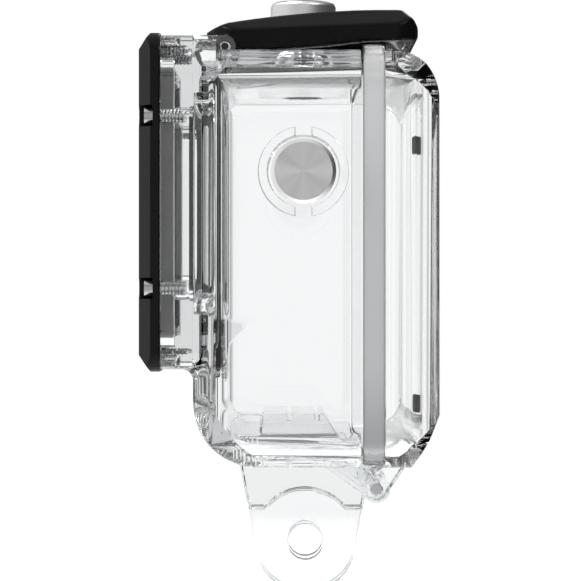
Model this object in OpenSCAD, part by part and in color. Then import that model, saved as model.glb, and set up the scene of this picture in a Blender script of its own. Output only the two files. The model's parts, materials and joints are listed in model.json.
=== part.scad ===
// Clear waterproof housing for a small action camera.
// Origin at the centre of the mounting finger bore, front towards -Y, top towards +Z.

/* [Shell] */
// Width of the shell from side to side
body_w = 79; // [70:0.5:96]
// Height of the shell from underside to top
body_h = 57.7; // [48:0.1:70]
// Depth of the front shell, front face to rear rim
shell_d = 23.05; // [19:0.05:28]
// Depth of the back door
door_d = 7.6; // [6.3:0.1:9.2]
// Thickness of the side walls
side_wall = 3; // [2.4:0.1:3.6]
// Thickness of the top wall
top_wall = 3.2; // [2.9:0.1:3.8]
// Thickness of the floor
floor_wall = 2.5; // [2:0.1:3]
// Thickness of the door's back wall
door_wall = 2.25; // [1.8:0.05:2.7]
// Thickness of the door seal
seal_t = 3; // [2.5:0.1:3.6]

/* [Port] */
// Outer size of the square port bezel
bezel_size = 46.5; // [38.7:0.1:50]
// Depth of the port bezel
bezel_d = 3; // [2.5:0.1:3.6]
// Thickness of the window
window_t = 1.8; // [1.4:0.1:2]
// Thread radius of the bezel screws
screw_r = 0.9; // [0.7:0.05:1.1]

/* [Mount foot] */
// Radius of the finger bore
bore_r = 2.6; // [2.5:0.05:3.2]
// Thickness of one finger
finger_t = 3; // [2.5:0.1:3.6]
// Gap between the fingers
finger_gap = 3.1; // [2.6:0.1:3.8]

/* [Hinge and latch] */
// Radius of the door hinge pins
hinge_pin_r = 0.8; // [0.65:0.05:1]
// Width of the latch lever
latch_w = 38; // [31:0.5:42]
// Radius of the latch pivot pin
latch_pin_r = 0.7; // [0.55:0.05:0.85]

/* [Buttons] */
// Radius of the side button's cap
side_cap_r = 4.45; // [3.7:0.05:5.4]
// Radius of the side button's shaft
side_shaft_r = 1.1; // [0.9:0.05:1.3]
// Travel of the side button
side_travel = 1.8; // [1.2:0.1:1.8]
// Radius of the shutter button's cap
shutter_cap_r = 5.1; // [4.2:0.05:6.2]
// Radius of the shutter button's shaft
shutter_shaft_r = 1.5; // [1.2:0.05:1.8]
// Travel of the shutter button
shutter_travel = 2.5; // [1.8:0.1:2.5]

/* [Hidden] */
$fn = 96;
// gap kept between pieces that move past each other
part_gap = 0.3;
// radial clearance of a running shaft or pin
running = 0.05;
// overlap that joins two shapes of one solid
join = 0.5;

front_y = -15.6;
rim_y = front_y + shell_d;
seal_y = rim_y + part_gap;
door_y = seal_y + seal_t;
back_y = door_y + door_d;
body_z0 = 12.9;
body_z1 = body_z0 + body_h;
half_w = body_w / 2;
front_wall = 3.1;
inner_half_w = half_w - side_wall;
inner_y0 = front_y + front_wall;
inner_y1 = back_y - door_wall;
inner_z0 = body_z0 + floor_wall;
inner_z1 = body_z1 - top_wall;

front_low_r = 9.5;
front_edge_r = 4;
back_edge_r = 5;
long_edge_r = 5;
door_top_r = 7.2;

port_half = bezel_size / 2;
port_x = half_w - 0.25 - port_half;
port_z = body_z1 + 2.1 - port_half;
flange_d = 4.4;
flange_y = front_y - flange_d;
flange_half = port_half - 0.35;
flange_r = 2.4;
neck_d = 3.2;
neck_half = flange_half - 0.5;
bezel_y = flange_y - bezel_d;
bevel_in = 2.3;
bevel_d = 1.65;
window_half = port_half - 5;
view_half = window_half - 2;
lip_d = bezel_d - window_t - 0.3;
skirt_half = window_half + 1.55;
skirt_w = 1.2;
skirt_d = 1.75;
gasket_w = 1.6;
gasket_t = 0.6;
tunnel_half = 15.5;
tunnel_z0 = port_z - tunnel_half;
throat_half = 13.4;
mask_half = 13.6;
mask_t = 0.65;
mask_hole = 11.3;
screw_in = port_half - 1.9;
screw_pitch = 11.8;
screw_end = 3.4;
head_r = screw_r + 0.4;
head_t = 1.2;
notch_half = head_r + 0.15;
notch_d = 2;

foot_half = 9.6;
finger_r = 7.5;
foot_block_x = 8;
arch_r = 7.75;
block_z = 5;

hinge_y = 9.8 + rim_y - 7.45;
hinge_z = 9.6;
barrel_r = 1.9;
knuckle_x0 = 9.5;
knuckle_w = 4;
door_knuckle_w = 12;
knuckle_x1 = knuckle_x0 + knuckle_w + part_gap;
knuckle_x2 = knuckle_x1 + door_knuckle_w + part_gap;
hinge_pin_l = knuckle_x2 + knuckle_w - knuckle_x0;

pivot_y = front_y + 4.3;
pivot_z = body_z1 + 0.6;
latch_x0 = 30 - latch_w;
latch_x1 = 30;
ear_t = 3;
ear_r = 1.5;
lever_tail_y = door_y + 5;
lever_top_r = 127.2;
lever_top_y = lever_tail_y - 4.7;
lever_top_z = body_z1 + 6.2;
lever_skin = 1.6;
lever_side = 1.6;
swing_r = 4.3;
barrel_gap_r = ear_r + part_gap;
lip_reach = 3.7;
panel_d = 0.2;
ridge_in = 4;

side_button_y = -0.44;
side_button_z = body_z0 + 0.7045 * body_h;
collar_r = side_cap_r + 1.7;
side_pocket_r = side_cap_r + 0.45;
side_floor_x = half_w - 0.9;
side_skirt_x = side_floor_x + side_travel + 0.2;
side_top_x = side_skirt_x + 1.4;
collar_x = half_w + 1.8;
clip_t = 0.35;
side_clip_x = half_w - side_wall - part_gap - clip_t;
pad_t = 0.7;

shutter_x = -20;
shutter_y = -0.2;
tower_r = shutter_cap_r + 1.9;
tower_z = body_z1 + 8.9;
shutter_pocket_r = shutter_cap_r + 0.45;
shutter_floor_z = body_z1 + 4.4;
shutter_skirt_z = shutter_floor_z + shutter_travel + part_gap;
shutter_top_z = shutter_skirt_z + 4.7;
shutter_recess = 1.65;
shutter_recess_r = shutter_shaft_r * 1.9 + part_gap;
shutter_clip_z = inner_z1 + shutter_recess - part_gap - clip_t;

// Draws an outline in the YZ plane and extrudes it from x0 to x1
module along_x(x0, x1) {
  translate([x0, 0, 0])
    rotate([90, 0, 90])
      linear_extrude(x1 - x0)
        children();
}

// Draws an outline in the XZ plane and extrudes it from y0 to y1
module along_y(y0, y1) {
  translate([0, y1, 0])
    rotate([90, 0, 0])
      linear_extrude(y1 - y0)
        children();
}

// Draws an outline in the XY plane and extrudes it from z0 to z1
module along_z(z0, z1) {
  translate([0, 0, z0])
    linear_extrude(z1 - z0)
      children();
}

// Corner points of a rectangle, with two points in place of each rounded corner
function cut_corners(u0, v0, u1, v1, r) = concat(
  r[0] > 0 ? [[u0, v0 + r[0]], [u0 + r[0], v0]] : [[u0, v0]],
  r[1] > 0 ? [[u1 - r[1], v0], [u1, v0 + r[1]]] : [[u1, v0]],
  r[2] > 0 ? [[u1, v1 - r[2]], [u1 - r[2], v1]] : [[u1, v1]],
  r[3] > 0 ? [[u0 + r[3], v1], [u0, v1 - r[3]]] : [[u0, v1]]
);

// Rounded rectangle; radii start at the low left corner and go anticlockwise
module rounded(u0, v0, u1, v1, r) {
  polygon(cut_corners(u0, v0, u1, v1, r));
  if (r[0] > 0) translate([u0 + r[0], v0 + r[0]]) circle(r[0]);
  if (r[1] > 0) translate([u1 - r[1], v0 + r[1]]) circle(r[1]);
  if (r[2] > 0) translate([u1 - r[2], v1 - r[2]]) circle(r[2]);
  if (r[3] > 0) translate([u0 + r[3], v1 - r[3]]) circle(r[3]);
}

// Rounded square about the port's axis
module port_square(half, r) {
  translate([port_x, port_z])
    rounded(-half, -half, half, half, [r, r, r, r]);
}

// A rod along X, Y or Z
module rod_x(r, x0, x1, y, z) {
  translate([x0, y, z])
    rotate([0, 90, 0])
      cylinder(h = x1 - x0, r = r);
}

module rod_y(r, y0, y1, x, z) {
  translate([x, y1, z])
    rotate([90, 0, 0])
      cylinder(h = y1 - y0, r = r);
}

module rod_z(r, z0, z1, x, y) {
  translate([x, y, z0])
    cylinder(h = z1 - z0, r = r);
}

// Ring of round cord about Z
module cord_ring(inner_r, cord_r) {
  rotate_extrude()
    translate([inner_r + cord_r, 0])
      circle(cord_r);
}

// Places a child at each of the eight screw positions of the port
module at_screws() {
  for (side = [0 : 3])
    for (step = [-screw_pitch, screw_pitch])
      translate([port_x, 0, port_z])
        rotate([0, 90 * side, 0])
          translate([screw_in, 0, step])
            children();
}

// Outside of shell and door together, seen from above and from the front
module outer_plan() {
  rounded(-half_w, front_y, half_w, back_y, [front_edge_r, front_edge_r, back_edge_r, back_edge_r]);
}

module outer_front() {
  rounded(-half_w, body_z0, half_w, body_z1, [long_edge_r, long_edge_r, long_edge_r, long_edge_r]);
}

module shell_solid() {
  intersection() {
    along_x(-half_w, half_w) rounded(front_y, body_z0, rim_y, body_z1, [front_low_r, 0, 0, 3]);
    along_z(body_z0, body_z1) outer_plan();
    along_y(front_y, rim_y) outer_front();
  }
}

// The camera's space, grown by a margin
module cavity_front(margin) {
  r = 2.5;
  rounded(-inner_half_w - margin, inner_z0 - margin, inner_half_w + margin, inner_z1 + margin,
          [r, r, r, r]);
}

module cavity_solid() {
  intersection() {
    along_x(-inner_half_w, inner_half_w)
      rounded(inner_y0, inner_z0, inner_y1, inner_z1, [front_low_r - floor_wall, 4.4, 4.4, 2]);
    along_z(inner_z0, inner_z1)
      rounded(-inner_half_w, inner_y0, inner_half_w, inner_y1, [2, 2, 3, 3]);
    along_y(inner_y0, inner_y1) cavity_front(0);
  }
}

// Quarter-round fillet bar under the flange
module flange_fillet() {
  fillet_r = 1.5;
  z = port_z - flange_half;
  along_x(port_x - flange_half + flange_r, port_x + flange_half - flange_r)
    difference() {
      translate([front_y - fillet_r, z - fillet_r]) square([fillet_r + join, fillet_r + join]);
      translate([front_y - fillet_r, z - fillet_r]) circle(fillet_r);
    }
}

// Shallow panel sunk in the inner face of the side wall beside the port
module side_panel() {
  translate([inner_half_w - 1, inner_y0 + 2.8, tunnel_z0])
    cube([1 + panel_d, rim_y - inner_y0 - 2.8 + 1, 2 * tunnel_half - 0.6]);
}

// Curved lip under the lens opening that the front of the camera rests against
module port_lip() {
  along_x(port_x - 14, port_x + 14)
    difference() {
      polygon([[inner_y0 - join, tunnel_z0 - 9.2], [inner_y0 + 0.2, tunnel_z0 - 9.2],
               [inner_y0 + lip_reach, tunnel_z0 - 2], [inner_y0 + lip_reach - 0.3, tunnel_z0 - 1.2],
               [inner_y0 - join, tunnel_z0 - 0.5]]);
      translate([inner_y0 + 9.2, tunnel_z0 - 9.1]) circle(9);
    }
}

// Outline of a hinge knuckle with its web running up to y0..y1 at height z
module knuckle_outline(y0, y1, z) {
  translate([hinge_y, hinge_z]) circle(barrel_r);
  polygon([[y0, z], [y0, z - 0.6], [hinge_y - 1.1, hinge_z - 1.2], [hinge_y + 1.4, hinge_z - 0.9],
           [hinge_y + 1.6, hinge_z + 0.9], [y1, z - 0.6], [y1, z]]);
}

module shell_knuckles() {
  for (s = [-1, 1])
    for (x = [knuckle_x0, knuckle_x2])
      along_x(s * (x + knuckle_w / 2) - knuckle_w / 2, s * (x + knuckle_w / 2) + knuckle_w / 2)
        knuckle_outline(hinge_y - 7.4, rim_y - 0.2, body_z0 + join);
}

// Room in the shell's top for the lever's barrel and for its nose, which swings forward and down
module lever_groove() {
  translate([pivot_y, pivot_z]) circle(barrel_gap_r);
  intersection() {
    translate([pivot_y, pivot_z]) circle(2.7);
    translate([pivot_y - 3, pivot_z - 3]) square([3, 6]);
  }
  intersection() {
    translate([pivot_y, pivot_z]) circle(swing_r);
    translate([pivot_y - 5, pivot_z - 5]) square([3.8, 10]);
  }
}

// Clear ears at both ends of the latch lever
module latch_ears() {
  for (x = [latch_x0 - part_gap - ear_t, latch_x1 + part_gap])
    along_x(x, x + ear_t) {
      translate([pivot_y, pivot_z]) circle(ear_r);
      translate([pivot_y - 3.4, body_z1 - join]) square([4.9, pivot_z - body_z1 + join]);
      translate([pivot_y - 3.4, body_z1 - join]) square([3.4, pivot_z - body_z1 + join + ear_r]);
    }
}

module side_collar() {
  rod_x(collar_r, half_w - join, collar_x, side_button_y, side_button_z);
}

module side_collar_cuts() {
  rod_x(side_pocket_r, side_floor_x, collar_x + 1, side_button_y, side_button_z);
  rod_x(side_shaft_r + running, inner_half_w - 1, side_floor_x + 1, side_button_y, side_button_z);
  rod_x(side_shaft_r + 0.8, inner_half_w + 0.7, inner_half_w + 1.5, side_button_y, side_button_z);
  translate([half_w, side_button_y - 1.15, side_button_z - collar_r - 1])
    cube([3, 2.3, 2 * collar_r + 2]);
}

module shutter_tower() {
  rod_z(tower_r, body_z1 - join, tower_z, shutter_x, shutter_y);
}

module shutter_tower_cuts() {
  rod_z(shutter_pocket_r, shutter_floor_z, tower_z + 1, shutter_x, shutter_y);
  rod_z(shutter_shaft_r + running, inner_z1 - 1, shutter_floor_z + 1, shutter_x, shutter_y);
  rod_z(shutter_shaft_r + 1.1, body_z1 - 0.6, body_z1 + 0.5, shutter_x, shutter_y);
  rod_z(shutter_recess_r, inner_z1 - 1, inner_z1 + shutter_recess, shutter_x, shutter_y);
}

module front_shell() {
  color([0.88, 0.93, 0.95, 0.3])
  port_lip();
  color([0.88, 0.93, 0.95, 0.3])
  difference() {
    union() {
      shell_solid();
      along_y(flange_y, front_y) port_square(flange_half, flange_r);
      along_y(front_y - join, front_y + neck_d) port_square(neck_half, flange_r - 0.4);
      flange_fillet();
      shell_knuckles();
      latch_ears();
      side_collar();
      shutter_tower();
    }
    cavity_solid();
    side_panel();
    along_y(flange_y - 1, inner_y0 - join) port_square(throat_half, 3.5);
    along_y(front_y - mask_t, inner_y0 + 1) port_square(mask_half, 3.7);
    along_y(front_y, inner_y0 + 1) port_square(tunnel_half, 4);
    along_y(flange_y - 1, flange_y + gasket_t / 2)
      difference() {
        port_square(window_half, 3);
        port_square(window_half - gasket_w, 2);
      }
    along_y(flange_y - 1, flange_y + skirt_d + 0.15) port_ring(skirt_half + 0.15, skirt_half - skirt_w - 0.15);
    at_screws() rod_y(screw_r, flange_y - 1, flange_y + screw_end + 0.2, 0, 0);
    along_x(latch_x0 - part_gap, latch_x1 + part_gap) lever_groove();
    rod_x(latch_pin_r, latch_x0 - 2.2, latch_x1 + 2.2, pivot_y, pivot_z);
    for (s = [-1, 1])
      rod_x(hinge_pin_r, s * (knuckle_x0 + hinge_pin_l / 2) - hinge_pin_l / 2,
            s * (knuckle_x0 + hinge_pin_l / 2) + hinge_pin_l / 2, hinge_y, hinge_z);
    side_collar_cuts();
    shutter_tower_cuts();
  }
}

// Side outline of the foot: tapered sides on a round end
module foot_outline() {
  circle(finger_r);
  polygon([[-finger_r, 0], [finger_r, 0], [8.3, 4.7], [foot_half, 11.5], [foot_half - 0.3, body_z0],
           [foot_half - 3.6, body_z0], [foot_half - 3.6, body_z0 + 0.4],
           [-foot_half - 1, body_z0 + 2.4], [-foot_half, 11.5], [-8.3, 4.7]]);
}

module mount_foot() {
  finger_x = finger_gap / 2 + finger_t;
  color([0.88, 0.93, 0.95, 0.3])
  difference() {
    union() {
      for (s = [-1, 1])
        along_x(s * (finger_x - finger_t / 2) - finger_t / 2, s * (finger_x - finger_t / 2) + finger_t / 2)
          foot_outline();
      difference() {
        along_x(-foot_block_x, foot_block_x)
          intersection() {
            foot_outline();
            translate([-20, block_z]) square([40, 20]);
          }
        rod_x(arch_r, -foot_block_x - 1, foot_block_x + 1, 0, 0);
      }
    }
    along_x(-half_w, half_w) rounded(front_y, body_z0, rim_y, body_z1, [front_low_r, 0, 0, 3]);
    rod_x(bore_r, -foot_block_x, foot_block_x, 0, 0);
  }
}

// Clear ledge that the camera stands on: a tall block on the port side and a low plate
module camera_cradle() {
  y0 = inner_y0 + 2;
  y1 = inner_y0 + 14.9;
  top = inner_z0 + 5;
  x0 = inner_half_w - 30.5;
  x1 = inner_half_w - 2.5;
  color([0.86, 0.91, 0.94, 0.35])
  intersection() {
    union() {
      along_x(x0, x1)
        difference() {
          polygon([[y0 + 3.9, inner_z0], [y0 + 4.4, top], [y1, top], [y1 + 2.4, top - 3.6],
                   [y1 + 3.4, top - 4.2], [y1 + 3.4, inner_z0]]);
          translate([y1 + 3.4, top - 1]) circle(2.2);
        }
      along_x(x1 - 9, x1)
        polygon([[y0, inner_z0], [y0, top - 1.2], [y0 + 1, top - 0.1],
                 [y0 + 5, top - 0.1], [y0 + 5, inner_z0]]);
      translate([-inner_half_w + 2.5, y0 + 1, inner_z0]) cube([2 * inner_half_w - 5, rim_y - 1 - y0, 1]);
    }
    cavity_solid();
    along_x(-half_w, half_w)
      difference() {
        translate([inner_y0, inner_z0]) square([rim_y - inner_y0 - 0.3, 8]);
        for (y = [y0 + 7.9, y0 + 11.7])
          translate([y, top - 0.9]) square([0.5, 2]);
      }
  }
}

module port_window() {
  color([0.8, 0.9, 0.95, 0.25])
  along_y(flange_y - 0.3 - window_t, flange_y - 0.3) port_square(window_half - 0.1, 3);
}

module window_gasket() {
  color([0.15, 0.15, 0.16])
  along_y(flange_y - gasket_t / 2, flange_y + gasket_t / 2)
    difference() {
      port_square(window_half - 0.05, 2.95);
      port_square(window_half - gasket_w + 0.05, 2.05);
    }
}

module lens_mask() {
  color([0.05, 0.05, 0.055])
  along_y(front_y - mask_t, front_y)
    difference() {
      port_square(mask_half - 0.1, 3.6);
      port_square(mask_hole, 4);
    }
}

// Square ring about the port's axis, between two half sizes
module port_ring(outer, inner) {
  difference() {
    port_square(outer, 3.2);
    port_square(inner, 3);
  }
}

module port_bezel() {
  chamfer_x = [[0, bezel_y + bevel_d], [bevel_in, bezel_y], [2 * port_half - bevel_in, bezel_y],
               [2 * port_half, bezel_y + bevel_d], [2 * port_half, flange_y], [0, flange_y]];
  color([0.06, 0.06, 0.065])
  along_y(flange_y - join, flange_y + skirt_d) port_ring(skirt_half, skirt_half - skirt_w);
  color([0.06, 0.06, 0.065])
  difference() {
    intersection() {
      along_y(bezel_y, flange_y) port_square(port_half, flange_r + 0.4);
      along_z(port_z - port_half, port_z + port_half)
        translate([port_x - port_half, 0]) polygon(chamfer_x);
      along_x(port_x - port_half, port_x + port_half)
        polygon([for (p = chamfer_x) [p[1], p[0] + port_z - port_half]]);
    }
    along_y(bezel_y - 1, flange_y + 1) port_square(view_half, 2.5);
    along_y(bezel_y + lip_d, flange_y + 1) port_square(window_half, 3);
    at_screws() {
      rod_y(head_r + 0.15, bezel_y - 1, bezel_y + notch_d, 0, 0);
      rod_y(screw_r, bezel_y, flange_y + 1, 0, 0);
      translate([0, bezel_y - 1, -notch_half]) cube([5, notch_d + 1, 2 * notch_half]);
    }
  }
}

module bezel_screws() {
  head_y = bezel_y + notch_d;
  color([0.75, 0.76, 0.78])
  at_screws()
    difference() {
      union() {
        rod_y(screw_r, head_y - 0.1, flange_y + screw_end, 0, 0);
        rod_y(head_r, head_y - head_t, head_y, 0, 0);
      }
      for (turn = [0, 90])
        translate([0, head_y - head_t - 0.1, 0])
          rotate([0, turn, 0])
            translate([-0.85, 0, -0.15]) cube([1.7, 0.6, 0.3]);
    }
}

module hinge_pins() {
  color([0.75, 0.76, 0.78])
  for (s = [-1, 1])
    rod_x(hinge_pin_r, s * (knuckle_x0 + hinge_pin_l / 2) - hinge_pin_l / 2,
          s * (knuckle_x0 + hinge_pin_l / 2) + hinge_pin_l / 2, hinge_y, hinge_z);
}

module latch_pin() {
  color([0.75, 0.76, 0.78])
  rod_x(latch_pin_r, latch_x0 - 2.2, latch_x1 + 2.2, pivot_y, pivot_z);
}

// Side outline of the door: rounded at the top, sloped to the hinge at the bottom
module door_outline() {
  difference() {
    rounded(door_y, body_z0, back_y, body_z1, [0, 0.4, door_top_r, 0]);
    polygon([[back_y + 1, body_z0 + 9.5], [back_y - 0.35, body_z0 + 6.6], [back_y - 1.5, body_z0 + 4],
             [hinge_y + 4.5, body_z0 - 0.05], [back_y + 1, body_z0 - 1]]);
  }
}

module door_ridge() {
  top = body_z1 + 2.7;
  along_x(latch_x0 + ridge_in, latch_x1 - ridge_in)
    polygon([[door_y + 0.5, body_z1 - join], [door_y + 0.5, top - 0.5], [door_y + 0.9, top],
             [door_y + 1.2, top], [door_y + 3.3, top - 0.78], [door_y + 3.3, body_z1 - 2]]);
}

module back_door() {
  color([0.88, 0.93, 0.95, 0.3])
  difference() {
    union() {
      intersection() {
        along_x(-half_w, half_w) door_outline();
        along_z(body_z0, body_z1) outer_plan();
        along_y(door_y, back_y) outer_front();
      }
      for (s = [-1, 1])
        along_x(s * (knuckle_x1 + door_knuckle_w / 2) - door_knuckle_w / 2,
                s * (knuckle_x1 + door_knuckle_w / 2) + door_knuckle_w / 2)
          union() {
            translate([hinge_y, hinge_z]) circle(barrel_r);
            polygon([[hinge_y - 1.6, hinge_z + 1], [hinge_y + 1.61, hinge_z - 1],
                     [hinge_y + 4.6, body_z0 + 0.2], [hinge_y + 4.6, body_z0 + 1],
                     [door_y + 0.3, body_z0 + 1], [door_y + 0.3, body_z0 - 0.4]]);
          }
      door_ridge();
    }
    cavity_solid();
    for (s = [-1, 1])
      rod_x(hinge_pin_r + running, s * (knuckle_x1 + door_knuckle_w / 2) - door_knuckle_w / 2 - 1,
            s * (knuckle_x1 + door_knuckle_w / 2) + door_knuckle_w / 2 + 1, hinge_y, hinge_z);
  }
}

module door_seal() {
  lip = 0.3;
  seal_rise = 0.8;
  r = long_edge_r - lip;
  color([0.78, 0.8, 0.81, 0.85])
  difference() {
    along_y(seal_y, door_y)
      rounded(-half_w + lip, body_z0 + lip, half_w - lip, body_z1 + seal_rise, [r, r, r + 1, r + 1]);
    along_y(seal_y - 1, door_y + 1) cavity_front(0);
  }
}

module door_pads() {
  pad_w = 2.5;
  color([0.05, 0.05, 0.05])
  for (z = [body_z0 + 8.9, body_z1 - 13.2])
    translate([inner_half_w - 3.4 - pad_w, inner_y1 - 1, z - pad_w / 2])
      cube([pad_w, 1, pad_w]);
}

// Side outline of the lever: long arched top, blunt rear end, pointed nose
module lever_outline() {
  intersection() {
    translate([lever_top_y, lever_top_z - lever_top_r]) circle(lever_top_r);
    polygon([[pivot_y - 2.9, body_z1 + 3], [pivot_y - 1, body_z1 + 3.8], [pivot_y + 0.4, body_z1 + 4.3],
             [pivot_y + 0.4, lever_top_z + 1], [lever_tail_y - 2.2, lever_top_z + 1],
             [lever_tail_y - 2.2, lever_top_z - 0.1], [lever_tail_y - 0.6, lever_top_z - 1.5],
             [lever_tail_y, lever_top_z - 2.5], [lever_tail_y, body_z1 + 2.1],
             [lever_tail_y - 0.6, body_z1 + 1.75],
             [lever_tail_y - 7.6, body_z1 + 1.5], [lever_tail_y - 12.6, body_z1 + 0.9],
             [pivot_y + 8.4, body_z1 + 0.4], [pivot_y + 1.9, body_z1 + 0.3], [pivot_y + 0.2, body_z1 + 1.1]]);
  }
}

// Hollow under the lever, with a sloped face behind the door's ridge
module lever_hollow() {
  top = body_z1 + 2.7;
  intersection() {
    translate([lever_top_y, lever_top_z - lever_top_r]) circle(lever_top_r - lever_skin);
    polygon([[pivot_y + 3, body_z1 - 1], [pivot_y + 3, lever_top_z], [door_y + 1.9, lever_top_z],
             [door_y + 1.9, top + 0.05], [door_y + 4, top - 0.73], [door_y + 4, body_z1 - 1]]);
  }
}

module latch_lever() {
  tilt = 2.3;
  inset = 2.5;
  crease = 2.6;
  color([0.07, 0.07, 0.075])
  difference() {
    union() {
      intersection() {
        along_x(latch_x0, latch_x1) lever_outline();
        along_z(body_z1 - 1, lever_top_z + 1)
          rounded(latch_x0, pivot_y - 3, latch_x1, lever_tail_y, [5.5, 5.5, 3.5, 3.5]);
        translate([0, pivot_y, body_z1 + crease])
          rotate([tilt, 0, 0])
            along_y(-5, lever_tail_y - pivot_y + 5)
              polygon([[latch_x0, -6], [latch_x1, -6], [latch_x1, 0.5], [latch_x1 - inset, 2.6],
                       [latch_x1 - inset, 8], [latch_x0 + inset, 8], [latch_x0 + inset, 2.6], [latch_x0, 0.5]]);
      }
      rod_x(ear_r, latch_x0, latch_x1, pivot_y, pivot_z);
    }
    along_x(latch_x0 + lever_side + 0.6, latch_x1 - lever_side - 0.6) lever_hollow();
    rod_x(latch_pin_r + running, latch_x0 - 1, latch_x1 + 1, pivot_y, pivot_z);
  }
}

// Ring with a slot, snapped onto a shaft
module snap_ring(outer, inner, thickness) {
  linear_extrude(thickness)
    difference() {
      circle(outer);
      circle(inner);
      translate([0, -inner * 0.6]) square([outer + 1, inner * 1.2]);
    }
}

// Spring as stacked rings joined by two bars
module ring_spring(coil_r, wire_r, z0, z1, turns) {
  pitch = (z1 - z0 - 2 * wire_r) / turns;
  for (i = [0 : turns])
    translate([0, 0, z0 + wire_r + i * pitch])
      rotate_extrude()
        translate([coil_r, 0]) circle(wire_r);
  for (i = [0 : turns - 1])
    rotate(i * 180)
      translate([coil_r, 0, z0 + wire_r + i * pitch])
        cylinder(h = pitch, r = wire_r * 0.7);
}

module side_button_at(x) {
  translate([x, side_button_y, side_button_z])
    rotate([0, 90, 0])
      children();
}

module side_button_cap() {
  h = side_top_x - side_skirt_x;
  color([0.8, 0.8, 0.81])
  side_button_at(side_skirt_x)
    rotate_extrude()
      polygon([[side_shaft_r, h - 0.9], [side_cap_r - 0.7, h - 0.9], [side_cap_r - 0.7, 0], [side_cap_r, 0],
               [side_cap_r, h - 0.5], [side_cap_r - 0.5, h], [0, h], [0, h - 0.4], [side_shaft_r, h - 0.4]]);
}

module side_button_shaft() {
  color([0.7, 0.71, 0.73])
  difference() {
    rod_x(side_shaft_r, side_clip_x - pad_t + 0.1, side_top_x - 0.4, side_button_y, side_button_z);
    side_button_at(side_clip_x)
      difference() {
        cylinder(h = clip_t, r = side_shaft_r + 1);
        cylinder(h = clip_t, r = side_shaft_r * 0.7);
      }
  }
}

module side_button_clip() {
  color([0.6, 0.6, 0.62])
  side_button_at(side_clip_x) snap_ring(side_shaft_r * 2, side_shaft_r * 0.7, clip_t);
}

module side_button_pad() {
  color([0.1, 0.1, 0.1])
  side_button_at(side_clip_x - pad_t - 0.3)
    difference() {
      cylinder(h = pad_t + 0.3, r = side_shaft_r * 1.8);
      translate([0, 0, 0.4]) cylinder(h = pad_t, r = side_shaft_r);
    }
}

module side_button_oring() {
  color([0.08, 0.08, 0.08])
  side_button_at(inner_half_w + 1.1) cord_ring(side_shaft_r, 0.39);
}

module side_button_spring() {
  color([0.72, 0.73, 0.75])
  side_button_at(0)
    ring_spring((side_shaft_r + side_cap_r - 0.7) / 2, 0.2, side_floor_x, side_top_x - 0.9, 2);
}

module shutter_at(z) {
  translate([shutter_x, shutter_y, z]) children();
}

module shutter_cap() {
  h = shutter_top_z - shutter_skirt_z;
  color([0.8, 0.8, 0.81])
  shutter_at(shutter_skirt_z)
    rotate_extrude()
      polygon([[shutter_shaft_r, h - 1.4], [shutter_cap_r - 0.9, h - 1.4], [shutter_cap_r - 0.9, 0],
               [shutter_cap_r, 0], [shutter_cap_r, h - 0.8], [shutter_cap_r - 0.25, h - 0.25],
               [shutter_cap_r - 0.8, h], [0, h], [0, h - 0.6], [shutter_shaft_r, h - 0.6]]);
}

module shutter_shaft() {
  color([0.7, 0.71, 0.73])
  difference() {
    rod_z(shutter_shaft_r, shutter_clip_z - pad_t + 0.1, shutter_top_z - 0.6, shutter_x, shutter_y);
    shutter_at(shutter_clip_z)
      difference() {
        cylinder(h = clip_t, r = shutter_shaft_r + 1);
        cylinder(h = clip_t, r = shutter_shaft_r * 0.7);
      }
  }
}

module shutter_clip() {
  color([0.6, 0.6, 0.62])
  shutter_at(shutter_clip_z) snap_ring(shutter_shaft_r * 1.9, shutter_shaft_r * 0.7, clip_t);
}

module shutter_pad() {
  color([0.1, 0.1, 0.1])
  shutter_at(shutter_clip_z - pad_t - 0.3)
    difference() {
      cylinder(h = pad_t + 0.3, r = shutter_shaft_r * 1.6);
      translate([0, 0, 0.4]) cylinder(h = pad_t, r = shutter_shaft_r);
    }
}

module shutter_oring() {
  color([0.08, 0.08, 0.08])
  shutter_at(body_z1 - 0.05) cord_ring(shutter_shaft_r, 0.54);
}

module shutter_spring() {
  color([0.72, 0.73, 0.75])
  shutter_at(0)
    ring_spring((shutter_shaft_r + shutter_cap_r - 0.9) / 2, 0.25, shutter_floor_z, shutter_top_z - 1.4, 4);
}

front_shell();
mount_foot();
camera_cradle();
port_window();
window_gasket();
lens_mask();
port_bezel();
bezel_screws();
hinge_pins();
latch_pin();
back_door();
door_seal();
door_pads();
latch_lever();
side_button_cap();
side_button_shaft();
side_button_clip();
side_button_pad();
side_button_oring();
side_button_spring();
shutter_cap();
shutter_shaft();
shutter_clip();
shutter_pad();
shutter_oring();
shutter_spring();
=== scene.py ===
import json
import math

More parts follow.
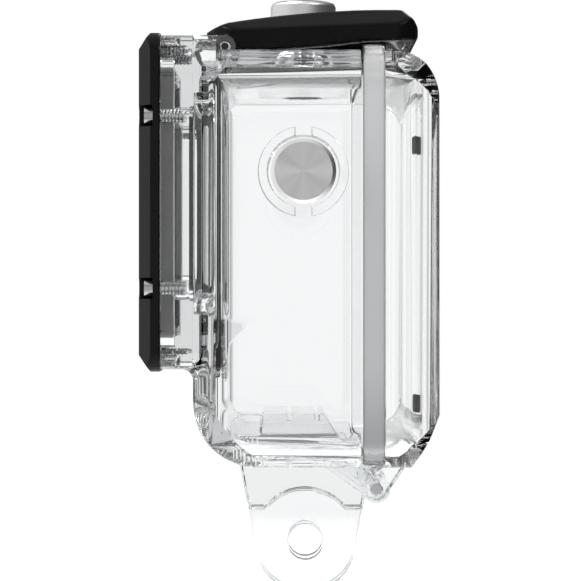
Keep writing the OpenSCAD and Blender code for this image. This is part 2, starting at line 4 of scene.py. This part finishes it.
import bmesh
import bpy
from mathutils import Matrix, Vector


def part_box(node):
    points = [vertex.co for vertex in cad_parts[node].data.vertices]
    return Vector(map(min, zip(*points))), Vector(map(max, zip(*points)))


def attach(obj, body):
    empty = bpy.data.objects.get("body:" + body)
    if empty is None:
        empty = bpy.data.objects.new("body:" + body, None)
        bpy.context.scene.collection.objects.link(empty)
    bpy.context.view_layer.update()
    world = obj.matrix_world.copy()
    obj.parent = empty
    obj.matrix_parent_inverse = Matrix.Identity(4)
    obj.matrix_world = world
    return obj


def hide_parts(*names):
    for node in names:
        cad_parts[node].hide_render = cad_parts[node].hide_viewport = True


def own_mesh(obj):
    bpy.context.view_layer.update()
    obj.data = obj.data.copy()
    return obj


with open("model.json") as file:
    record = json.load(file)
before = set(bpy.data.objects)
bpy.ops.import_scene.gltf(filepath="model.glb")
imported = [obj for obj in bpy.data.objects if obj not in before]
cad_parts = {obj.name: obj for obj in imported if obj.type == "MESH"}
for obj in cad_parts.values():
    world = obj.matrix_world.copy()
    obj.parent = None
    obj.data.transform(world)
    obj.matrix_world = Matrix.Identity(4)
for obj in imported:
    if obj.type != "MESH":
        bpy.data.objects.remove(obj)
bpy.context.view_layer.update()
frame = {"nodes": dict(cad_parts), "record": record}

RECORD = frame["record"]
BODY_OF = {n: b for b, nodes in RECORD["behaviour"]["bodies"].items() for n in nodes}

MM = 0.001

# Edge roundings
CLEAR_EDGE = 0.16 * MM
SOFT_EDGE = 0.3 * MM
BEZEL_EDGE = 0.25 * MM
FINE_EDGE = 0.1 * MM
ROUNDING = {"camera_cradle": 0.2 * MM, "mount_foot": 0.2 * MM}
LEVER_GRAIN = 0.26 * MM

# Bezel screws
SHANK = 0.9 * MM
SCREW_HEAD = 1.2 * MM
SCREW_CORE = 0.78
THREAD_WIRE = 0.17 * MM
THREAD_PITCH = 0.48 * MM
THREAD_PROUD = 0.09 * MM

# Camera: its place, its focal length in picture widths and the width of its sensor in mm
CAMERA_AT = (0.430, -0.0022, 0.03735)
FOCAL_LENGTH = 2867 / 581
SENSOR = 36

# Tent round the clear plastic: where its dark flags start and end, and how dark they are
FLAG_EDGE = (-0.35, -0.9)
LEVEL_EDGE = (-0.55, -0.97)
FLAG_DEPTH = (0.97, 0.95)


# ---------------------------------------------------------------- measures

def low(node):
    return Vector(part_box(node)[0])


def high(node):
    return Vector(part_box(node)[1])


def middle(node):
    return (low(node) + high(node)) / 2


def span(node):
    return high(node) - low(node)


# ---------------------------------------------------------------- materials

class Finish:
    """A node material that is built up step by step."""

    def __init__(self, name):
        self.material = bpy.data.materials.new(name)
        self.material.use_nodes = True
        self.tree = self.material.node_tree
        self.shader = self.tree.nodes["Principled BSDF"]
        self.place = self.add("ShaderNodeTexCoord").outputs["Object"]

    def add(self, kind, **settings):
        node = self.tree.nodes.new(kind)
        for key, value in settings.items():
            setattr(node, key, value)
        return node

    def link(self, a, b):
        self.tree.links.new(a, b)

    def set(self, **values):
        for key, value in values.items():
            self.shader.inputs[key.replace("_", " ")].default_value = value

    def noise(self, scale, detail=3.0, rough=0.5, stretch=(1, 1, 1)):
        mapping = self.add("ShaderNodeMapping")
        mapping.inputs["Scale"].default_value = stretch
        self.link(self.place, mapping.inputs["Vector"])
        node = self.add("ShaderNodeTexNoise")
        node.inputs["Scale"].default_value = scale
        node.inputs["Detail"].default_value = detail
        node.inputs["Roughness"].default_value = rough
        self.link(mapping.outputs["Vector"], node.inputs["Vector"])
        return node.outputs["Fac"]

    def spread(self, source, a, b, low_in=0.3, high_in=0.7):
        node = self.add("ShaderNodeMapRange")
        node.inputs["From Min"].default_value = low_in
        node.inputs["From Max"].default_value = high_in
        node.inputs["To Min"].default_value = a
        node.inputs["To Max"].default_value = b
        self.link(source, node.inputs["Value"])
        return node.outputs["Result"]

    def colours(self, source, *stops):
        node = self.add("ShaderNodeValToRGB")
        ramp = node.color_ramp
        while len(ramp.elements) < len(stops):
            ramp.elements.new(0.5)
        for element, (at, colour) in zip(ramp.elements, stops):
            element.position = at
            element.color = (*colour, 1)
        self.link(source, node.inputs["Fac"])
        return node.outputs["Color"]

    def bump(self, source, strength, distance):
        node = self.add("ShaderNodeBump")
        node.inputs["Strength"].default_value = strength
        node.inputs["Distance"].default_value = distance
        self.link(source, node.inputs["Height"])
        if self.shader.inputs["Normal"].is_linked:
            self.link(self.shader.inputs["Normal"].links[0].from_socket, node.inputs["Normal"])
        self.link(node.outputs["Normal"], self.shader.inputs["Normal"])

    def split(self, source):
        node = self.add("ShaderNodeSeparateXYZ")
        self.link(source, node.inputs[0])
        return node.outputs

    def maths(self, kind, *values):
        node = self.add("ShaderNodeMath", operation=kind)
        for socket, value in zip(node.inputs, values):
            if isinstance(value, (int, float)):
                socket.default_value = value
            else:
                self.link(value, socket)
        return node.outputs[0]

    def vector(self, kind, first, second=None):
        node = self.add("ShaderNodeVectorMath", operation=kind)
        self.link(first, node.inputs[0])
        if second is not None:
            node.inputs[1].default_value = second
        return node.outputs["Value" if kind == "LENGTH" else "Vector"]

    def blend(self, factor, first, second):
        node = self.add("ShaderNodeMix", data_type="RGBA")
        self.link(factor, node.inputs["Factor"])
        self.link(first, node.inputs[6])
        self.link(second, node.inputs[7])
        return node.outputs[2]

    def to(self, source, socket):
        self.link(source, self.shader.inputs[socket])


def clear_plastic(name, tint, ior, rough, density):
    """Polished clear polycarbonate: faint flow waves from moulding and hairline wipe marks."""
    f = Finish(name)
    f.set(Transmission_Weight=1.0, IOR=ior, Base_Color=(*tint, 1))
    f.to(f.spread(f.noise(220, 4, 0.6), rough, rough + 0.012, 0.35, 0.75), "Roughness")
    f.bump(f.noise(38, 1.5, 0.4, (1, 0.6, 0.35)), 0.03, 0.6 * MM)
    # The plastic swallows a little light, so that it looks greyer edge on
    body = f.add("ShaderNodeVolumeAbsorption")
    body.inputs["Color"].default_value = (0.2, 0.22, 0.23, 1)
    body.inputs["Density"].default_value = density
    f.link(body.outputs[0], f.tree.nodes["Material Output"].inputs["Volume"])
    return f.material


def window_glass():
    f = Finish("coated_window")
    f.set(Transmission_Weight=1.0, IOR=1.5, Coat_Weight=0.35, Coat_Roughness=0.02)
    f.to(f.colours(f.noise(60, 2), (0.3, (0.985, 0.992, 1.0)), (0.7, (0.97, 0.985, 0.99))), "Base Color")
    f.to(f.spread(f.noise(500, 3), 0.0, 0.01), "Roughness")
    return f.material


def black_plastic(name, shade, rough, grain, shine, back_y=None):
    """Moulded black plastic with a fine spark-eroded grain; greyer on a back face at back_y."""
    f = Finish(name)
    f.set(IOR=1.5, Specular_IOR_Level=shine)
    cloud = f.noise(90, 4)
    colour = f.colours(cloud, (0.3, (shade,) * 3), (0.75, (shade * 1.5, shade * 1.5, shade * 1.6)))
    if back_y is not None:
        at_back = f.spread(f.split(f.place)[1], 0.0, 1.0, back_y - 0.03 * MM, back_y - 0.01 * MM)
        back_grey = f.colours(cloud, (0.3, (0.12, 0.12, 0.125)), (0.75, (0.16, 0.16, 0.165)))
        colour = f.blend(at_back, colour, back_grey)
    f.to(colour, "Base Color")
    f.to(f.spread(f.noise(700, 4, 0.6), rough - 0.05, rough + 0.07), "Roughness")
    f.bump(f.noise(5200, 2, 0.6), grain, 0.04 * MM)
    f.bump(f.noise(160, 2, 0.5), 0.03, 0.2 * MM)
    return f.material


def milky_silicone(half_width, low_z, high_z):
    """Translucent silicone, nearly clear, with painted shade on its outer 2 mm of the +X button side, toward
    the camera: greyer, less clear and rougher there, and darker towards the bottom.
    """
    f = Finish("milky_silicone")
    f.set(IOR=1.41, Subsurface_Weight=0.2, Subsurface_Scale=0.003, Subsurface_Radius=(1.0, 1.0, 1.0))
    across, _, up = f.split(f.place)
    # skin is a painted shade mask, not a real skin: the +X side toward the camera is made greyer, less clear
    # and rougher
    skin = f.spread(across, 0.0, 1.0, half_width - 2.2 * MM, half_width - 0.2 * MM)
    mottle = f.noise(120, 3, 0.5, (1, 1, 0.15))
    # the painted grey gets darker towards the bottom
    height = f.spread(up, 0.0, 1.0, low_z, high_z)
    grey = f.colours(f.maths("MULTIPLY_ADD", mottle, 0.25, height),
                     (0.08, (0.24, 0.245, 0.25)), (0.3, (0.42, 0.425, 0.43)),
                     (0.75, (0.46, 0.465, 0.47)), (1.0, (0.55, 0.555, 0.56)))
    white = f.colours(mottle, (0.3, (0.86, 0.865, 0.87)), (0.7, (0.94, 0.945, 0.95)))
    f.to(f.blend(skin, white, grey), "Base Color")
    f.to(f.maths("MULTIPLY_ADD", skin, -0.8, 0.97), "Transmission Weight")
    f.to(f.maths("MULTIPLY_ADD", skin, 0.32, f.spread(f.noise(600, 3), 0.06, 0.1)), "Roughness")
    f.bump(f.noise(2600, 3), 0.05, 0.03 * MM)
    return f.material


def black_rubber():
    f = Finish("black_rubber")
    f.set(IOR=1.5)
    f.to(f.colours(f.noise(400, 3), (0.3, (0.012, 0.012, 0.013)), (0.7, (0.026, 0.026, 0.027))), "Base Color")
    f.to(f.spread(f.noise(900, 3), 0.55, 0.72), "Roughness")
    f.bump(f.noise(3800, 3), 0.25, 0.04 * MM)
    return f.material


def turned_steel(name, shade, rough):
    f = Finish(name)
    f.set(Metallic=1.0)
    lines = f.noise(900, 3, 0.6, (1, 6, 6))
    f.to(f.colours(lines, (0.3, (shade * 0.86,) * 3), (0.7, (shade, shade, shade * 1.01))), "Base Color")
    f.to(f.spread(f.noise(1800, 3, 0.6), rough - 0.05, rough + 0.06), "Roughness")
    f.bump(f.noise(2600, 2, 0.5, (1, 5, 5)), 0.08, 0.02 * MM)
    return f.material


def spun_metal(name, centre, axis):
    """Aluminium with rings left by the tool round its axis; the fan of light comes from the anisotropy,
    helped by a painted highlight cross in the colour.
    """
    f = Finish(name)
    f.set(Metallic=1.0, Anisotropic=0.85)
    flat = f.vector("MULTIPLY", f.vector("SUBTRACT", f.place, centre), [0 if a else 1 for a in axis])
    rings = f.add("ShaderNodeTexNoise", noise_dimensions="1D")
    rings.inputs["Scale"].default_value = 9000
    rings.inputs["Detail"].default_value = 3
    f.link(f.vector("LENGTH", flat), rings.inputs["W"])
    f.to(f.vector("NORMALIZE", f.vector("CROSS_PRODUCT", flat, axis)), "Tangent")
    sides = f.split(flat)
    turn = f.maths("ARCTAN2", *[sides[i] for i in range(3) if not axis[i]])
    # A soft cross of painted highlight in four directions, fixed round the axis, strengthens the fan of light
    painted_cross = f.spread(f.maths("COSINE", f.maths("MULTIPLY", turn, 4)), 0.0, 0.45, -1, 1)
    # grain holds the tool rings and the painted highlight cross
    grain = f.maths("MULTIPLY_ADD", rings.outputs["Fac"], 0.55, painted_cross)
    f.to(f.colours(grain, (0.2, (0.72, 0.72, 0.725)), (0.8, (0.97, 0.97, 0.975))), "Base Color")
    f.to(f.spread(rings.outputs["Fac"], 0.3, 0.36), "Roughness")
    f.bump(rings.outputs["Fac"], 0.04, 0.01 * MM)
    return f.material


# ---------------------------------------------------------------- mesh work

def new_piece(name, mesh, material):
    for polygon in mesh.polygons:
        polygon.use_smooth = True
    obj = bpy.data.objects.new(name, mesh)
    bpy.context.scene.collection.objects.link(obj)
    obj.data.materials.clear()
    obj.data.materials.append(material)
    return obj


def cad_copy(name, *nodes):
    """A copy of CAD nodes as one mesh, with doubled points merged."""
    work = bmesh.new()
    for node in nodes:
        work.from_mesh(frame["nodes"][node].data)
    bmesh.ops.remove_doubles(work, verts=work.verts, dist=1e-6)
    bmesh.ops.dissolve_degenerate(work, edges=work.edges, dist=1e-7)
    mesh = bpy.data.meshes.new(name)
    work.to_mesh(mesh)
    work.free()
    mesh.materials.clear()
    return mesh


def shade_by_angle(obj, degrees):
    """Keeps an edge sharp where its faces meet at more than this angle."""
    work = bmesh.new()
    work.from_mesh(obj.data)
    limit = math.radians(degrees)
    for edge in work.edges:
        edge.smooth = len(edge.link_faces) == 2 and edge.calc_face_angle(0) < limit
    work.to_mesh(obj.data)
    work.free()


def weighted(obj):
    modifier = obj.modifiers.new("weighted_normals", "WEIGHTED_NORMAL")
    modifier.keep_sharp = True


def flatten_planes(obj, degrees=0.4):
    """Joins the triangles of each flat face, so that an edge can be rounded."""
    work = bmesh.new()
    work.from_mesh(obj.data)
    bmesh.ops.dissolve_limit(work, angle_limit=math.radians(degrees), verts=work.verts, edges=work.edges)
    work.to_mesh(obj.data)
    work.free()


def union(name, *meshes):
    """One solid mesh made from several that touch or overlap."""
    pieces = []
    for index, mesh in enumerate(meshes):
        piece = bpy.data.objects.new(name + str(index), mesh)
        bpy.context.scene.collection.objects.link(piece)
        pieces.append(piece)
    for other in pieces[1:]:
        modifier = pieces[0].modifiers.new("join", "BOOLEAN")
        modifier.operation = "UNION"
        modifier.solver = "EXACT"
        modifier.object = other
    settled = pieces[0].evaluated_get(bpy.context.evaluated_depsgraph_get())
    result = bpy.data.meshes.new_from_object(settled)
    result.name = name
    for piece in pieces:
        bpy.data.objects.remove(piece)
    return result


def roundable(edge, least, limit):
    """True where an edge is sharp and has room beside it to be rounded off."""
    if len(edge.link_faces) != 2 or edge.calc_face_angle(0) < limit:
        return False
    for face in edge.link_faces:
        if face.calc_area() < 0.5 * least * edge.calc_length():
            return False
    return True


def round_edges(obj, width, degrees=28, steps=2):
    """Rounds the sharp edges that have room for it, leaving the fine detail as it is."""
    work = bmesh.new()
    work.from_mesh(obj.data)
    least = 2.6 * width
    limit = math.radians(degrees)
    chosen = {edge for edge in work.edges if roundable(edge, least, limit)}
    while True:
        crowded = set()
        for vertex in {v for edge in chosen for v in edge.verts}:
            others = [edge for edge in vertex.link_edges if edge not in chosen]
            rounded = [edge for edge in vertex.link_edges if edge in chosen]
            sharp = any(len(edge.link_faces) == 2 and edge.calc_face_angle(0) > limit for edge in others)
            if any(edge.calc_length() < least for edge in others) or sharp or len(rounded) > 3:
                crowded.update(rounded)
        if not crowded:
            break
        chosen -= crowded
    bmesh.ops.bevel(work, geom=list(chosen), offset=width, offset_type="OFFSET", segments=steps,
                    profile=0.5, affect="EDGES", clamp_overlap=False, loop_slide=False)
    work.to_mesh(obj.data)
    work.free()


def rounded_copy(node):
    """A copy of one CAD node, with its edges rounded if it is listed for that."""
    mesh = cad_copy(node, node)
    if node in ROUNDING:
        piece = bpy.data.objects.new(node + "_round", mesh)
        flatten_planes(piece)
        round_edges(piece, ROUNDING[node], 28, 3)
        bpy.data.objects.remove(piece)
    return mesh


def melted(name, mesh, grain, passes=9):
    """The mesh with all its edges and corners softly rounded, as on a thick moulding."""
    piece = bpy.data.objects.new(name, mesh)
    bpy.context.scene.collection.objects.link(piece)
    skin = piece.modifiers.new("skin", "REMESH")
    skin.mode = "VOXEL"
    skin.voxel_size = grain
    ease = piece.modifiers.new("ease", "SMOOTH")
    ease.factor = 0.5
    ease.iterations = passes
    settled = piece.evaluated_get(bpy.context.evaluated_depsgraph_get())
    result = bpy.data.meshes.new_from_object(settled)
    result.name = name
    bpy.data.objects.remove(piece)
    return result


def free_pin(obj, pin, gap):
    """Opens the bore of a piece again round a pin that lies along X."""
    centre = middle(pin)
    reach = span(pin).z / 2 + gap
    for vertex in obj.data.vertices:
        y, z = vertex.co.y - centre.y, vertex.co.z - centre.z
        away = math.hypot(y, z)
        if away < reach:
            vertex.co.y = centre.y + y * reach / away
            vertex.co.z = centre.z + z * reach / away


def dress(name, material, nodes, edge=None, sharp=32, one_solid=False, melt=None):
    """A finished piece made from the CAD shape of one or more nodes."""
    if one_solid:
        mesh = union(name, *[rounded_copy(node) for node in nodes])
    else:
        mesh = cad_copy(name, *nodes)
    if melt:
        mesh = melted(name, mesh, melt)
        sharp = 180
    obj = new_piece(name, mesh, material)
    if not melt:
        flatten_planes(obj)
    if edge:
        round_edges(obj, edge, sharp)
        for polygon in obj.data.polygons:
            polygon.use_smooth = True
    shade_by_angle(obj, sharp)
    weighted(obj)
    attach(obj, BODY_OF[nodes[0]])
    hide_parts(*nodes)
    return obj


# ---------------------------------------------------------------- coils: threads and springs

def coil_tree():
    """Sweeps a round wire along a helix and sets a copy on each point of the mesh it is given."""
    tree = bpy.data.node_groups.new("coil", "GeometryNodeTree")
    face = tree.interface
    face.new_socket("Geometry", in_out="INPUT", socket_type="NodeSocketGeometry")
    for name in ("Coil Radius", "Height", "Turns", "Wire Radius"):
        face.new_socket(name, in_out="INPUT", socket_type="NodeSocketFloat")
    face.new_socket("Turn", in_out="INPUT", socket_type="NodeSocketVector")
    face.new_socket("Material", in_out="INPUT", socket_type="NodeSocketMaterial")
    face.new_socket("Geometry", in_out="OUTPUT", socket_type="NodeSocketGeometry")
    given = tree.nodes.new("NodeGroupInput").outputs
    helix = tree.nodes.new("GeometryNodeCurveSpiral")
    helix.inputs["Resolution"].default_value = 28
    wire = tree.nodes.new("GeometryNodeCurvePrimitiveCircle")
    wire.inputs["Resolution"].default_value = 8
    sweep = tree.nodes.new("GeometryNodeCurveToMesh")
    sweep.inputs["Fill Caps"].default_value = True
    stand = tree.nodes.new("GeometryNodeTransform")
    spread = tree.nodes.new("GeometryNodeInstanceOnPoints")
    real = tree.nodes.new("GeometryNodeRealizeInstances")
    coat = tree.nodes.new("GeometryNodeSetMaterial")
    out = tree.nodes.new("NodeGroupOutput")
    for a, b in (
        (given["Coil Radius"], helix.inputs["Start Radius"]),
        (given["Coil Radius"], helix.inputs["End Radius"]),
        (given["Height"], helix.inputs["Height"]), (given["Turns"], helix.inputs["Rotations"]),
        (given["Wire Radius"], wire.inputs["Radius"]), (helix.outputs[0], sweep.inputs["Curve"]),
        (wire.outputs[0], sweep.inputs["Profile Curve"]), (sweep.outputs[0], stand.inputs["Geometry"]),
        (given["Turn"], stand.inputs["Rotation"]), (stand.outputs[0], spread.inputs["Instance"]),
        (given["Geometry"], spread.inputs["Points"]), (spread.outputs[0], real.inputs[0]),
        (real.outputs[0], coat.inputs["Geometry"]), (given["Material"], coat.inputs["Material"]),
        (coat.outputs[0], out.inputs[0]),
    ):
        tree.links.new(a, b)
    return tree


def coils(name, spots, material, **sizes):
    """Plain mesh of one coil at each spot."""
    mesh = bpy.data.meshes.new(name)
    mesh.from_pydata([tuple(spot) for spot in spots], [], [])
    obj = bpy.data.objects.new(name, mesh)
    bpy.context.scene.collection.objects.link(obj)
    modifier = obj.modifiers.new("coil", "NODES")
    modifier.node_group = COIL
    sockets = {item.name: item.identifier for item in COIL.interface.items_tree if item.in_out == "INPUT"}
    for key, value in sizes.items():
        modifier[sockets[key.replace("_", " ")]] = value
    modifier[sockets["Material"]] = material
    settled = obj.evaluated_get(bpy.context.evaluated_depsgraph_get())
    result = bpy.data.meshes.new_from_object(settled)
    obj.modifiers.remove(modifier)
    bpy.data.objects.remove(obj)
    result.name = name
    return new_piece(name, result, material)


def islands(node):
    """Low and high corner of each separate solid of a node."""
    work = bmesh.new()
    work.from_mesh(frame["nodes"][node].data)
    bmesh.ops.remove_doubles(work, verts=work.verts, dist=1e-6)
    found, seen = [], set()
    for start in work.verts:
        if start in seen:
            continue
        group, queue = [], [start]
        seen.add(start)
        while queue:
            vertex = queue.pop()
            group.append(vertex.co.copy())
            for edge in vertex.link_edges:
                other = edge.other_vert(vertex)
                if other not in seen:
                    seen.add(other)
                    queue.append(other)
        found.append((Vector(min(c[i] for c in group) for i in range(3)),
                      Vector(max(c[i] for c in group) for i in range(3))))
    work.free()
    return found


def dress_screws():
    """Bezel screws with a slim core and a rolled thread."""
    corners = islands("bezel_screws")
    centres = [(a + b) / 2 for a, b in corners]
    front, end = corners[0][0].y, corners[0][1].y
    head = front + SCREW_HEAD
    screws = dress("bezel_screw_set", STEEL, ["bezel_screws"])
    for vertex in screws.data.vertices:
        if vertex.co.y < head - 0.02 * MM:
            continue
        centre = min(centres, key=lambda c: (c.x - vertex.co.x) ** 2 + (c.z - vertex.co.z) ** 2)
        reach = math.hypot(vertex.co.x - centre.x, vertex.co.z - centre.z)
        if reach < SHANK * 1.03:
            vertex.co.x = centre.x + (vertex.co.x - centre.x) * SCREW_CORE
            vertex.co.z = centre.z + (vertex.co.z - centre.z) * SCREW_CORE
    spots = [(c.x, end - 0.1 * MM - THREAD_WIRE, c.z) for c in centres]
    length = end - head - 0.4 * MM
    thread = coils("bezel_screw_threads", spots, STEEL, Coil_Radius=SHANK - THREAD_WIRE + THREAD_PROUD,
                   Height=length, Turns=length / THREAD_PITCH, Wire_Radius=THREAD_WIRE,
                   Turn=(math.radians(90), 0, 0))
    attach(thread, BODY_OF["bezel_screws"])


def dress_spring(node, axis, wire, turns):
    """A coiled wire in the room of the node, pressed shorter by its button."""
    a, b = low(node), high(node)
    centre = (a + b) / 2
    length = (b - a).dot(axis)
    foot = centre - axis * (length / 2 - wire)
    across = (b.x - a.x) / 2 if axis.z else (b.z - a.z) / 2
    turn = (0, 0, 0) if axis.z else (0, math.radians(90), 0)
    piece = coils(node + "_wire", [foot], STEEL, Coil_Radius=across - wire, Height=length - 2 * wire,
                  Turns=turns, Wire_Radius=wire, Turn=turn)
    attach(piece, BODY_OF[node])
    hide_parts(node)
    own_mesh(piece)


# ---------------------------------------------------------------- camera, light and floor

def side_camera(scene):
    data = bpy.data.cameras.new("side_view")
    data.lens = FOCAL_LENGTH * SENSOR
    data.sensor_width = SENSOR
    data.clip_start = 0.01
    data.clip_end = 20
    camera = bpy.data.objects.new("side_view", data)
    camera.location = CAMERA_AT
    camera.rotation_euler = (math.radians(90), 0, math.radians(90))
    scene.collection.objects.link(camera)
    scene.camera = camera


def view_settings(scene):
    """Plain colours, and enough bounces for light that runs along inside the clear walls."""
    scene.view_settings.view_transform = "Standard"
    scene.view_settings.look = "None"
    scene.cycles.max_bounces = 40
    scene.cycles.transmission_bounces = 36
    scene.cycles.glossy_bounces = 36
    scene.cycles.transparent_max_bounces = 16


def studio(scene):
    """The room that clear and shiny pieces show."""
    world = bpy.data.worlds.new("studio")
    scene.world = world
    world.use_nodes = True
    tree = world.node_tree
    tree.nodes.clear()

    def maths(kind, a, b=None, c=None):
        node = tree.nodes.new("ShaderNodeMath")
        node.operation = kind
        for index, value in enumerate((a, b, c)):
            if value is None:
                continue
            if isinstance(value, (int, float)):
                node.inputs[index].default_value = value
            else:
                tree.links.new(value, node.inputs[index])
        return node.outputs[0]

    def step(value, start, stop):
        node = tree.nodes.new("ShaderNodeMapRange")
        node.interpolation_type = "SMOOTHSTEP"
        node.inputs["From Min"].default_value = start
        node.inputs["From Max"].default_value = stop
        tree.links.new(value, node.inputs["Value"])
        return node.outputs["Result"]

    def scaled(value, factor):
        return maths("MULTIPLY", value, factor)

    def background(strength):
        node = tree.nodes.new("ShaderNodeBackground")
        node.inputs["Color"].default_value = (1, 1, 1, 1)
        if isinstance(strength, (int, float)):
            node.inputs["Strength"].default_value = strength
        else:
            tree.links.new(strength, node.inputs["Strength"])
        return node.outputs[0]

    def choose(factor, first, second):
        node = tree.nodes.new("ShaderNodeMixShader")
        tree.links.new(factor, node.inputs[0])
        tree.links.new(first, node.inputs[1])
        tree.links.new(second, node.inputs[2])
        return node.outputs[0]

    where = tree.nodes.new("ShaderNodeTexCoord")
    parts = tree.nodes.new("ShaderNodeSeparateXYZ")
    tree.links.new(where.outputs["Generated"], parts.inputs[0])
    x, y, z = parts.outputs
    path = tree.nodes.new("ShaderNodeLightPath")

    # Seen through clear plastic: a white tent with narrow dark flags between its panels
    upright = scaled(step(maths("COSINE", scaled(maths("ARCTAN2", y, x), 8)), *FLAG_EDGE), FLAG_DEPTH[0])
    level = scaled(step(maths("COSINE", scaled(maths("ARCSINE", z), 4)), *LEVEL_EDGE), FLAG_DEPTH[1])
    flags = maths("MAXIMUM", upright, level)
    # The flags fade straight to the sides, and are weaker behind the housing
    flags = scaled(flags, maths("MULTIPLY_ADD", step(maths("ABSOLUTE", x), 0.89, 0.985), -0.9, 1.0))
    flags = scaled(flags, maths("MULTIPLY_ADD", step(y, 0.05, 0.6), -0.6, 1.0))
    tent = maths("SUBTRACT", 1.0, flags)

    # Mirrored in metal and black plastic: soft boxes in front and above, a dim room elsewhere
    boxes = scaled(step(scaled(y, -1), 0.45, 0.85), 0.9)
    boxes = maths("ADD", boxes, scaled(step(z, 0.45, 0.9), 0.75))
    boxes = maths("ADD", boxes, scaled(step(x, 0.75, 0.95), 0.5))
    boxes = maths("ADD", boxes, 0.05)

    out = tree.nodes.new("ShaderNodeOutputWorld")
    seen = choose(path.outputs["Is Transmission Ray"], background(boxes), background(tent))
    seen = choose(path.outputs["Is Diffuse Ray"], seen, background(0.9))
    tree.links.new(choose(path.outputs["Is Camera Ray"], seen, background(1.0)), out.inputs["Surface"])


def lamps(scene):
    for name, at, size, power in (
        ("key_box", (0.30, -0.46, 0.50), 0.30, 1.6),
        ("fill_box", (0.42, 0.42, 0.40), 0.26, 0.6),
        ("rim_box", (-0.45, 0.25, 0.50), 0.34, 1.2),
    ):
        lamp = bpy.data.lights.new(name, "AREA")
        lamp.shape = "RECTANGLE"
        lamp.size = size
        lamp.size_y = size * 0.7
        lamp.energy = power
        obj = bpy.data.objects.new(name, lamp)
        obj.location = at
        aim = Vector((0, 0, 0.04)) - Vector(at)
        obj.rotation_euler = aim.to_track_quat("-Z", "Y").to_euler()
        scene.collection.objects.link(obj)


def floor():
    """A pale disc under the housing that fades out to its rim."""
    bottom = low("mount_foot").z - 0.4 * MM
    work = bmesh.new()
    bmesh.ops.create_circle(work, cap_ends=True, segments=96, radius=0.16)
    for vertex in work.verts:
        vertex.co.z = bottom
    mesh = bpy.data.meshes.new("floor")
    work.to_mesh(mesh)
    work.free()
    f = Finish("pale_floor")
    f.set(Roughness=0.6, Specular_IOR_Level=0.1, Base_Color=(0.96, 0.96, 0.965, 1))
    f.set(Emission_Strength=0.35, Emission_Color=(1, 1, 1, 1))
    fade = f.spread(f.vector("LENGTH", f.place), 1.0, 0.0, 0.05, 0.155)
    clear = f.add("ShaderNodeBsdfTransparent")
    mix = f.add("ShaderNodeMixShader")
    f.link(fade, mix.inputs[0])
    f.link(clear.outputs[0], mix.inputs[1])
    f.link(f.shader.outputs[0], mix.inputs[2])
    f.link(mix.outputs[0], f.tree.nodes["Material Output"].inputs["Surface"])
    new_piece("floor", mesh, f.material)


# ---------------------------------------------------------------- the scene

view_settings(bpy.context.scene)
side_camera(bpy.context.scene)
studio(bpy.context.scene)
lamps(bpy.context.scene)
floor()
COIL = coil_tree()

CLEAR = clear_plastic("clear_polycarbonate", (0.985, 0.992, 0.995), 1.58, 0.0, 9)
DOOR_CLEAR = clear_plastic("door_polycarbonate", (0.992, 0.996, 0.998), 1.58, 0.0, 2.5)
SILICONE = milky_silicone(high("door_seal").x, low("door_seal").z, high("door_seal").z)
RUBBER = black_rubber()
STEEL = turned_steel("stainless_steel", 0.62, 0.22)
BRIGHT_STEEL = turned_steel("bright_steel", 0.75, 0.14)
BEZEL = black_plastic("bezel_black", 0.0028, 0.30, 0.10, 0.16, middle("window_gasket").y + 0.06 * MM)
LEVER = black_plastic("lever_black", 0.0028, 0.24, 0.06, 0.12)
MASK = black_plastic("mask_black", 0.004, 0.62, 0.2, 0.1)

dress("clear_front", CLEAR, ["front_shell", "mount_foot", "camera_cradle"], CLEAR_EDGE, 28, True)
dress("clear_door", DOOR_CLEAR, ["back_door"], CLEAR_EDGE, 28)
dress("seal", SILICONE, ["door_seal"], SOFT_EDGE)
dress("pads", RUBBER, ["door_pads"], SOFT_EDGE)
dress("window", window_glass(), ["port_window"], FINE_EDGE)
dress("gasket", RUBBER, ["window_gasket"])
dress("mask", MASK, ["lens_mask"])
dress("bezel", BEZEL, ["port_bezel"], BEZEL_EDGE, 20)
dress_screws()
dress("hinge_pin_pair", BRIGHT_STEEL, ["hinge_pins"], FINE_EDGE)
dress("latch_pivot", BRIGHT_STEEL, ["latch_pin"], FINE_EDGE)
free_pin(dress("lever", LEVER, ["latch_lever"], melt=LEVER_GRAIN), "latch_pin", 0.03 * MM)
SIDE_SPUN = spun_metal("spun_side_cap", middle("side_button_cap"), (1, 0, 0))
TOP_SPUN = spun_metal("spun_top_cap", middle("shutter_cap"), (0, 0, 1))
dress("side_cap", SIDE_SPUN, ["side_button_cap"])
dress("top_cap", TOP_SPUN, ["shutter_cap"])
for node in ("side_button_shaft", "side_button_clip", "shutter_shaft", "shutter_clip"):
    dress(node + "_fine", STEEL, [node])
dress_spring("side_button_spring", Vector((1, 0, 0)), 0.2 * MM, 2.4)
dress_spring("shutter_spring", Vector((0, 0, 1)), 0.25 * MM, 4.5)
for node in ("side_button_pad", "shutter_pad", "side_button_oring", "shutter_oring"):
    dress(node + "_fine", RUBBER, [node])
